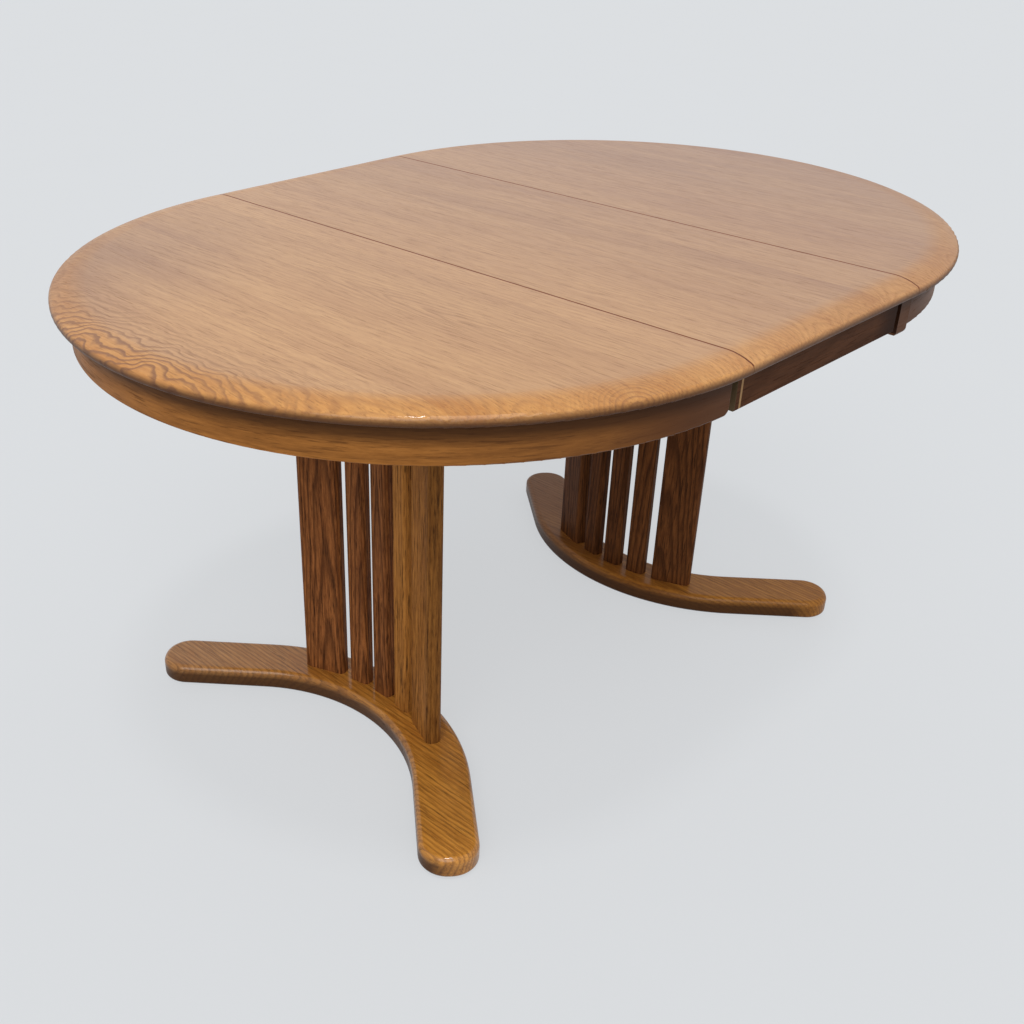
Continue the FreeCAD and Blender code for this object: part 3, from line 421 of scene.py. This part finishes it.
def curved_apron_wood(look):
    """The grain runs round the bend of the apron, with painted shade towards the seams and on the left, and a
    painted shadow under the top.
    """
    recipe = Recipe("curved_apron_wood")
    x, y, z = recipe.place()
    low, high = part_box("near_apron")
    radius = high.y
    beyond = abs(x) - end_centre()
    grain = Grain(recipe, y.math("ARCTAN2", beyond) * radius, z - low.z, hypotenuse(beyond, y) - radius,
                  x.math("SIGN") * 3.0)
    timber = Timber(look.apron_light, look.apron_dark, look.apron_pore, ring=0.0042, line=0.25, ripple=0.001,
                    tilt=0.01, tone=(0.3, 0.25, 1.0), plank_change=0.02, roughness=0.42, specular=0.08)
    # Painted shade: the curved apron darkens towards the seams and on the left, in the leaf aprons' shaded
    # tones.
    seam_end_shade = recipe.curve(abs(y) / radius, (0.0, 0.0), (0.70, 0.0), (0.93, 0.55), (0.99, 0.95))
    left = recipe.curve(-(y * x.math("SIGN")) / radius, (0.0, 0.0), (0.25, 0.0), (0.70, 0.65), (1.0, 0.6))
    # Painted shadow: the apron darkens just under the top.
    top_shadow = recipe.curve((high.z - z) / SHADOW_REACH, (0.0, 0.9), (0.36, 0.75), (0.66, 0.0))
    # Painted shade: the ends that sit in the gap behind the block are darkened.
    gap_shade = (abs(x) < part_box("far_apron_block")[0].x + SKIN) * (x * y < 0.0)
    return polish(grain, timber, stains=((seam_end_shade.math("MAXIMUM", left), look.leaf_apron_shaded_light),
                                         (top_shadow, look.leaf_apron_shaded_dark), (gap_shade * 0.9, look.post_pore)))


def leaf_apron_wood(look):
    """Straight aprons in darker tones that paint the shade they stand in, with a pale line near the one end
    and a painted shadow towards the block at the other."""
    recipe = Recipe("leaf_apron_wood")
    x, y, z = recipe.place()
    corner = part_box("leaf_apron_front")[1]
    grain = Grain(recipe, x, z - corner.z, abs(y), y.math("SIGN") * 5.0)
    # Painted shade: the leaf aprons' tones are a darker copy of the apron tones.
    timber = Timber(look.leaf_apron_shaded_light, look.leaf_apron_shaded_dark, look.post_pore, line=0.3,
                    tone=(0.5, 0.4, 0.9), pores=0.45, roughness=0.45, specular=0.03)
    sawn = abs(x) > corner.x - SKIN
    # A pale line near the one end of each leaf apron.
    pale_line = recipe.curve((x + corner.x) / PALE_LINE_REACH,
                        (0.0, 0.0), (0.40, 0.0), (0.44, 1.0), (0.60, 1.0), (0.64, 0.0))
    to_block = corner.x + x * y.math("SIGN")
    # Painted shadow: the leaf apron darkens towards the block.
    block_shadow = recipe.curve(to_block / BLOCK_SHADOW_REACH, (0.0, 0.9), (0.35, 0.75), (1.0, 0.0))
    return polish(grain, timber, stains=((sawn, look.sawn_end), (pale_line * 0.8, look.plain_dark),
                                         (block_shadow, look.post_pore)))


def post_wood(look):
    """Upright grain in the boards and slats, each with its own figure; the near trestle's front posts take
    lighter, warmer tones as painted light, and their outside edges and the far trestle take painted shade."""
    recipe = Recipe("trestle_post_wood")
    x, y, z = recipe.place()
    middle, slat, board = (box_middle("near_" + name) for name in ("slat_middle", "slat_back", "board_back"))
    run = abs(board.x) - abs(middle.x)
    radius = (run * run + board.y * board.y) / (2.0 * run)
    slat_turn, board_turn = math.asin(slat.y / radius), math.asin(board.y / radius)
    inward = abs(middle.x) + radius - abs(x)
    turn = y.math("ARCTAN2", inward)
    past_slat = abs(turn) > slat_turn / 2.0
    past_gap = abs(turn) > (slat_turn + board_turn) / 2.0
    centre = past_slat * slat_turn + past_gap * (board_turn - slat_turn)
    post = (past_slat + past_gap) * y.math("SIGN") + x.math("SIGN") * 7.0
    grain = Grain(recipe, z, (abs(turn) - centre) * radius, hypotenuse(inward, y) - radius, post)
    # Painted light: the near trestle's front posts take lighter, warmer tones.
    painted_light = (x < 0.0) * (y < slat.y * -0.5)
    # Painted shade: the outside edge of those posts is darkened.
    outer_shade = recipe.curve((abs(y) - board.y) / EDGE_SHADE_REACH, (0.0, 0.0), (0.30, 0.0), (0.65, 0.45))
    timber = Timber(look.post_light, look.post_dark, look.post_pore, ring=0.0050, drift=0.004,
                    ripple=0.0012, tilt=0.05, heart_depth=0.035, tone=(0.4, 0.6, 1.7), pores=0.85,
                    plank_change=0.08, roughness=0.45, specular=0.05, line=0.7 - painted_light * 0.35)
    tones = (recipe.blend(painted_light, shade(look.post_light), shade(look.post_lit_light)),
             recipe.blend(painted_light, shade(look.post_dark), shade(look.post_lit_dark)))
    # Painted shade: the far trestle is darkened.
    return polish(grain, timber, tones,
                  stains=(((x > 0.0) * 0.5, look.post_pore), (painted_light * outer_shade, look.post_pore)))


def foot_wood(look):
    """Feet sawn from wide boards, with the grain across the table, so that it crosses the arms; the sides
    carry painted shade, and so does the far foot."""
    recipe = Recipe("foot_wood")
    x, y, z = recipe.place()
    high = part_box("near_foot")[1]
    far = x > 0.0
    grain = Grain(recipe, y, abs(x) - abs(box_middle("near_foot").x), z - high.z, x.math("SIGN") * 9.0)
    # Painted shade: the sides of the feet are darkened, and lose their coat.
    low = recipe.curve(z / high.z, (0.0, 1.0), (0.6, 0.92), (0.97, 0.0))
    low = low * recipe.curve(abs(y) / high.y, (0.0, 1.0), (0.90, 1.0), (1.0, 0.25))
    timber = Timber(look.foot_light, look.foot_dark, look.post_pore, ring=0.0066, line=0.42, drift=0.006,
                    ripple=0.002, tilt=0.012, heart_side=0.14, heart_depth=0.09, tone=(0.4, 0.6, 1.1),
                    roughness=0.36, specular=0.12, coat_roughness=0.12,
                    coat=(0.75 - low * 0.72) * (1.0 - far * 0.8))
    arm = y / high.y * 0.5 + 0.5
    grey = recipe.curve(arm, (0.0, 0.0), (0.55, 0.0), (1.0, 0.8))
    # Painted shade: the far foot is darkened, more towards its arm at the back.
    darker = far * recipe.curve(arm, (0.0, 0.30), (0.55, 0.45), (1.0, 0.65))
    light = recipe.blend(grey, shade(look.foot_light), shade(look.foot_grey))
    return polish(grain, timber, (light, shade(look.foot_dark)),
                  stains=((darker, look.post_dark), (low * 0.95, look.foot_side_shade)))


# How wide the staves of the framing are.
STAVE = 0.055


def plain_wood(look):
    """Pale unfinished wood of the hidden framing."""
    recipe = Recipe("framing_wood")
    x, y, z = recipe.place()
    grain = Grain(recipe, x, y, z, (y / STAVE).math("FLOOR"))
    timber = Timber(look.plain_light, look.plain_dark, look.plain_pore, ring=0.0035, line=0.35, pores=0.3,
                    roughness=0.62, specular=0.3)
    return polish(grain, timber)


# ---------------------------------------------------------------- metal and plastic


def zinc_steel(look):
    """Plated steel with a soft spangle and brush marks."""
    recipe = Recipe("zinc_plated_steel")
    x, y, z = recipe.place()
    spangle = recipe.even_noise(420.0, roughness=0.6) + 0.5
    brushed = recipe.noise(x * 2600.0, y * 160.0, z * 900.0, 2.0) + 0.5
    return recipe.finish(recipe.surface({
        "Base Color": recipe.blend(spangle, shade(look.zinc_dull), shade(look.zinc_bright)),
        "Metallic": 1.0,
        "Roughness": brushed * 0.22 + 0.28,
        "Normal": recipe.bump(brushed, 0.00002),
    }))


def glide_plastic(look):
    """Dark moulded plastic, slightly mottled."""
    recipe = Recipe("glide_plastic")
    mottle = recipe.even_noise(900.0) + 0.5
    return recipe.finish(recipe.surface({
        "Base Color": recipe.blend(mottle, shade(look.plastic_dark), shade(look.plastic_light)),
        "Roughness": mottle * 0.25 + 0.5,
        "Normal": recipe.bump(mottle, 0.00005),
    }))


# ---------------------------------------------------------------- properties


def colour_property(name, description, default):
    return FloatVectorProperty(name=name, description=description, subtype="COLOR_GAMMA", size=3, min=0.0,
                               max=1.0, default=default)


def length_property(name, description, default):
    return FloatProperty(name=name, description=description, default=default, min=0.01, max=1.0,
                         unit="LENGTH")


def strength_property(name, description, default):
    return FloatProperty(name=name, description=description, default=default, min=0.0)


class TableLook(bpy.types.PropertyGroup):
    """Colours of the pieces and sizes of the planks."""

    plank_width: length_property("Plank width", "Width of the planks of the top", 0.15)
    first_joint: length_property("First joint", "Middle of the table to a joint between two planks", 0.255)
    top_light: colour_property("Top, light", "Light tone at the near end of the top", (0.83, 0.635, 0.43))
    top_dark: colour_property("Top, dark", "Dark tone at the near end of the top", (0.755, 0.556, 0.37))
    # Painted reflection: the far end's tones stand in for the pale room reflected in its polish.
    far_reflection_light: colour_property("Far end, light", "Light tone of the top's far end", (0.70, 0.53, 0.385))
    far_reflection_dark: colour_property("Far end, dark", "Dark tone of the top's far end", (0.60, 0.43, 0.325))
    top_pore: colour_property("Top, pores", "Open pores and late wood of the top", (0.42, 0.25, 0.15))
    # Painted reflection: the rim's roll-off tones stand in for the warmer light it reflects.
    rim_reflection_light: colour_property("Rim, light", "Light tone where the rim rolls off", (0.84, 0.605, 0.335))
    rim_reflection_dark: colour_property("Rim, dark", "Dark tone where the rim rolls off", (0.74, 0.49, 0.245))
    # Painted shade: this colour darkens the rim's nose below its highlight.
    nose_shade: colour_property("Nose", "Darker polish under the nose of the rim", (0.26, 0.14, 0.06))
    seam_stain: colour_property("Seam", "Polish and dust in the seams of the top", (0.46, 0.23, 0.10))
    apron_light: colour_property("Curved apron, light", "Light tone of the curved aprons", (0.66, 0.43, 0.20))
    apron_dark: colour_property("Curved apron, dark", "Dark tone of the curved aprons", (0.50, 0.31, 0.13))
    apron_pore: colour_property("Curved apron, pores", "Open pores of the curved aprons", (0.26, 0.14, 0.06))
    # Painted shade: the leaf aprons' tones are a darker, shaded copy of the apron tones.
    leaf_apron_shaded_light: colour_property("Leaf apron, light", "Light tone of the leaf's aprons",
                                      (0.32, 0.19, 0.105))
    leaf_apron_shaded_dark: colour_property("Leaf apron, dark", "Dark tone of the leaf's aprons",
                                     (0.22, 0.125, 0.06))
    sawn_end: colour_property("Leaf apron, ends", "Sawn ends of the leaf's aprons", (0.34, 0.28, 0.20))
    post_light: colour_property("Posts, light", "Light tone of the boards and slats", (0.57, 0.35, 0.185))
    post_dark: colour_property("Posts, dark", "Dark tone of the boards and slats", (0.39, 0.22, 0.105))
    post_pore: colour_property("Posts, pores", "Open pores of the boards and slats", (0.15, 0.075, 0.035))
    # Painted light: the near trestle's front posts take these lighter tones.
    post_lit_light: colour_property("Posts, golden", "Light tone of the near trestle's golden posts",
                                 (0.70, 0.465, 0.215))
    post_lit_dark: colour_property("Posts, amber", "Dark tone of the near trestle's golden posts",
                                (0.51, 0.315, 0.125))
    foot_light: colour_property("Feet, light", "Light tone of the feet", (0.83, 0.57, 0.24))
    foot_dark: colour_property("Feet, dark", "Dark tone of the feet", (0.63, 0.40, 0.15))
    # Painted shade: this colour is laid down the sides of the feet.
    foot_side_shade: colour_property("Feet, sides", "Stain down the sides of the feet", (0.22, 0.12, 0.045))
    foot_grey: colour_property("Feet, grey", "Light tone of the one arm of each foot", (0.665, 0.49, 0.32))
    plain_light: colour_property("Framing, light", "Light tone of the hidden framing", (0.80, 0.68, 0.52))
    plain_dark: colour_property("Framing, dark", "Dark tone of the hidden framing", (0.66, 0.52, 0.36))
    plain_pore: colour_property("Framing, pores", "Open pores of the hidden framing", (0.45, 0.33, 0.22))
    zinc_dull: colour_property("Zinc, dull", "Dull patches of the plated steel", (0.62, 0.62, 0.60))
    zinc_bright: colour_property("Zinc, bright", "Bright patches of the plated steel", (0.76, 0.76, 0.78))
    plastic_dark: colour_property("Glides, dark", "Dark mottle of the glides", (0.10, 0.09, 0.08))
    plastic_light: colour_property("Glides, light", "Light mottle of the glides", (0.18, 0.16, 0.14))


class StudioLook(bpy.types.PropertyGroup):
    """The floor, the lamps and the lens."""

    floor: colour_property("Floor", "Colour of the studio floor", (0.86, 0.87, 0.88))
    sky_tint: colour_property("Sky tint", "Colour of the even light all round", (0.985, 0.99, 1.0))
    glow: FloatProperty(name="Floor glow", description="Share of the floor that shows its colour unshaded",
                        default=0.75, min=0.0, max=1.0, subtype="FACTOR")
    lens: FloatProperty(name="Lens", description="Focal length of the lens", default=42.75, min=10.0,
                        max=200.0, unit="CAMERA")
    ceiling: strength_property("Ceiling lamp", "Strength of the soft lamp overhead", 0.60)
    front: strength_property("Front lamp", "Strength of the soft lamp in front", 1.30)
    sky: strength_property("Sky", "Strength of the even light all round", 0.60)


def look(context):
    return context.scene.table_look


def dress(material, wanted):
    """Gives the material to every CAD node that the test picks."""
    found = [node for name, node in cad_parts.items() if wanted(name)]
    if not found:
        raise RuntimeError("no piece takes %s" % material.name)
    for node in found:
        node.data.materials.clear()
        node.data.materials.append(material)


# ---------------------------------------------------------------- operators


class TABLE_OT_top(bpy.types.Operator):
    """Finishes the two half-round ends and the leaf"""

    bl_idname = "table.top"
    bl_label = "Top"

    def execute(self, context):
        dress(top_wood(look(context)), lambda name: name.endswith("_top"))
        return {"FINISHED"}


class TABLE_OT_aprons(bpy.types.Operator):
    """Finishes the curved and the straight aprons"""

    bl_idname = "table.aprons"
    bl_label = "Aprons"

    def execute(self, context):
        dress(curved_apron_wood(look(context)), lambda name: name.startswith(("near_apron", "far_apron")))
        dress(leaf_apron_wood(look(context)), lambda name: name.startswith("leaf_apron"))
        return {"FINISHED"}


class TABLE_OT_trestles(bpy.types.Operator):
    """Finishes the boards, slats and feet of both trestles"""

    bl_idname = "table.trestles"
    bl_label = "Trestles"

    def execute(self, context):
        dress(post_wood(look(context)), lambda name: "_board_" in name or "_slat_" in name)
        dress(foot_wood(look(context)), lambda name: name.endswith("_foot"))
        return {"FINISHED"}


class TABLE_OT_framing(bpy.types.Operator):
    """Finishes the hidden runners, bearers, battens, blocks, dowels and pins"""

    bl_idname = "table.framing"
    bl_label = "Framing"

    def execute(self, context):
        words = ("runner_front", "runner_back", "bearer", "battens", "glue_blocks", "dowels", "pins")
        dress(plain_wood(look(context)), lambda name: name.endswith(words))
        return {"FINISHED"}


class TABLE_OT_hardware(bpy.types.Operator):
    """Finishes the screws, latches, studs and glides"""

    bl_idname = "table.hardware"
    bl_label = "Hardware"

    def execute(self, context):
        words = ("screws", "latch", "keepers")
        dress(zinc_steel(look(context)), lambda name: any(word in name for word in words))
        dress(glide_plastic(look(context)), lambda name: name.endswith("glides"))
        return {"FINISHED"}


# Lamps: the direction they shine from, and their spread in degrees.
CEILING_LAMP = ((-0.10, -0.12, 0.99), 9.0)
FRONT_LAMP = ((-0.60, -0.44, 0.67), 45.0)

# The camera: its place in metres, its turns in degrees, and how far its picture is shifted.
CAMERA_PLACE = (-1.3883, -1.1958, 1.2533)
CAMERA_TURNS = (59.18, 0.0, -43.94)
CAMERA_SHIFT = (0.0956, 0.0459)

FLOOR_RADIUS = 40.0


class TABLE_OT_studio(bpy.types.Operator):
    """Builds the floor, the lamps, the sky and the camera"""

    bl_idname = "table.studio"
    bl_label = "Studio"

    def execute(self, context):
        studio = context.scene.table_studio
        self.floor(studio)
        self.sky(context, studio)
        self.lamp("Ceiling", *CEILING_LAMP, studio.ceiling)
        self.lamp("Front", *FRONT_LAMP, studio.front)
        self.camera(context, studio)
        return {"FINISHED"}

    def floor(self, studio):
        bpy.ops.object.select_all(action="DESELECT")
        bpy.ops.mesh.primitive_circle_add(vertices=96, radius=FLOOR_RADIUS, fill_type="NGON")
        floor = bpy.context.object
        floor.name = "studio_floor"
        recipe = Recipe("studio_floor_paint")
        darker = [level * 0.985 for level in studio.floor]
        colour = recipe.blend(recipe.even_noise(3.0, 4.0) + 0.5, shade(darker), shade(studio.floor))
        paint = recipe.surface({"Base Color": colour, "Roughness": 0.6})
        glow = recipe.add("ShaderNodeEmission", None, {"Color": shade(studio.floor), "Strength": 1.0})
        share = recipe.mirrored_or_seen() * studio.glow
        floor.data.materials.append(recipe.finish(
            recipe.add("ShaderNodeMixShader", None, {0: share, 1: paint, 2: glow})))

    def sky(self, context, studio):
        """Even light all round, behind a plain backdrop in the floor's colour."""
        recipe = Recipe("studio_sky", bpy.data.worlds)
        light, backdrop = (
            recipe.add("ShaderNodeBackground", None, {"Color": shade(colour), "Strength": strength})
            for colour, strength in ((studio.sky_tint, studio.sky), (studio.floor, 1.0))
        )
        context.scene.world = recipe.finish(
            recipe.add("ShaderNodeMixShader", None, {0: recipe.mirrored_or_seen(), 1: light, 2: backdrop}),
            "ShaderNodeOutputWorld")
        context.scene.view_settings.view_transform = "Standard"

    def lamp(self, name, towards, spread, strength):
        """A broad soft lamp far away, in a direction from the table and over a spread in degrees."""
        bpy.ops.object.light_add(type="SUN", location=towards)
        lamp = bpy.context.object
        lamp.name = name
        lamp.data.energy = strength
        lamp.data.angle = math.radians(spread)
        lamp.rotation_euler = Vector(towards).to_track_quat("Z", "Y").to_euler()

    def camera(self, context, studio):
        bpy.ops.object.camera_add(location=CAMERA_PLACE)
        camera = bpy.context.object
        camera.rotation_euler = [math.radians(turn) for turn in CAMERA_TURNS]
        camera.data.lens = studio.lens
        camera.data.shift_x, camera.data.shift_y = CAMERA_SHIFT
        context.scene.camera = camera


class TABLE_PT_panel(bpy.types.Panel):
    """Lists the pieces and the looks of the table"""

    bl_idname = "TABLE_PT_panel"
    bl_label = "Oval Extension Table"
    bl_space_type = "VIEW_3D"
    bl_region_type = "UI"
    bl_category = "Table"

    def draw(self, context):
        for step in STEPS:
            self.layout.operator(step.bl_idname)
        for group in (context.scene.table_look, context.scene.table_studio):
            column = self.layout.column()
            for name in group.__annotations__:
                column.prop(group, name)


STEPS = (TABLE_OT_top, TABLE_OT_aprons, TABLE_OT_trestles, TABLE_OT_framing, TABLE_OT_hardware,
         TABLE_OT_studio)
CLASSES = (TableLook, StudioLook) + STEPS + (TABLE_PT_panel,)


def register():
    for cls in CLASSES:
        bpy.utils.register_class(cls)
    bpy.types.Scene.table_look = PointerProperty(type=TableLook)
    bpy.types.Scene.table_studio = PointerProperty(type=StudioLook)


def unregister():
    del bpy.types.Scene.table_studio
    del bpy.types.Scene.table_look
    for cls in reversed(CLASSES):
        bpy.utils.unregister_class(cls)


def main():
    register()
    bpy.ops.object.select_all(action="DESELECT")
    for step in STEPS:
        group, name = step.bl_idname.split(".")
        getattr(getattr(bpy.ops, group), name)()


if __name__ == "__main__":
    main()
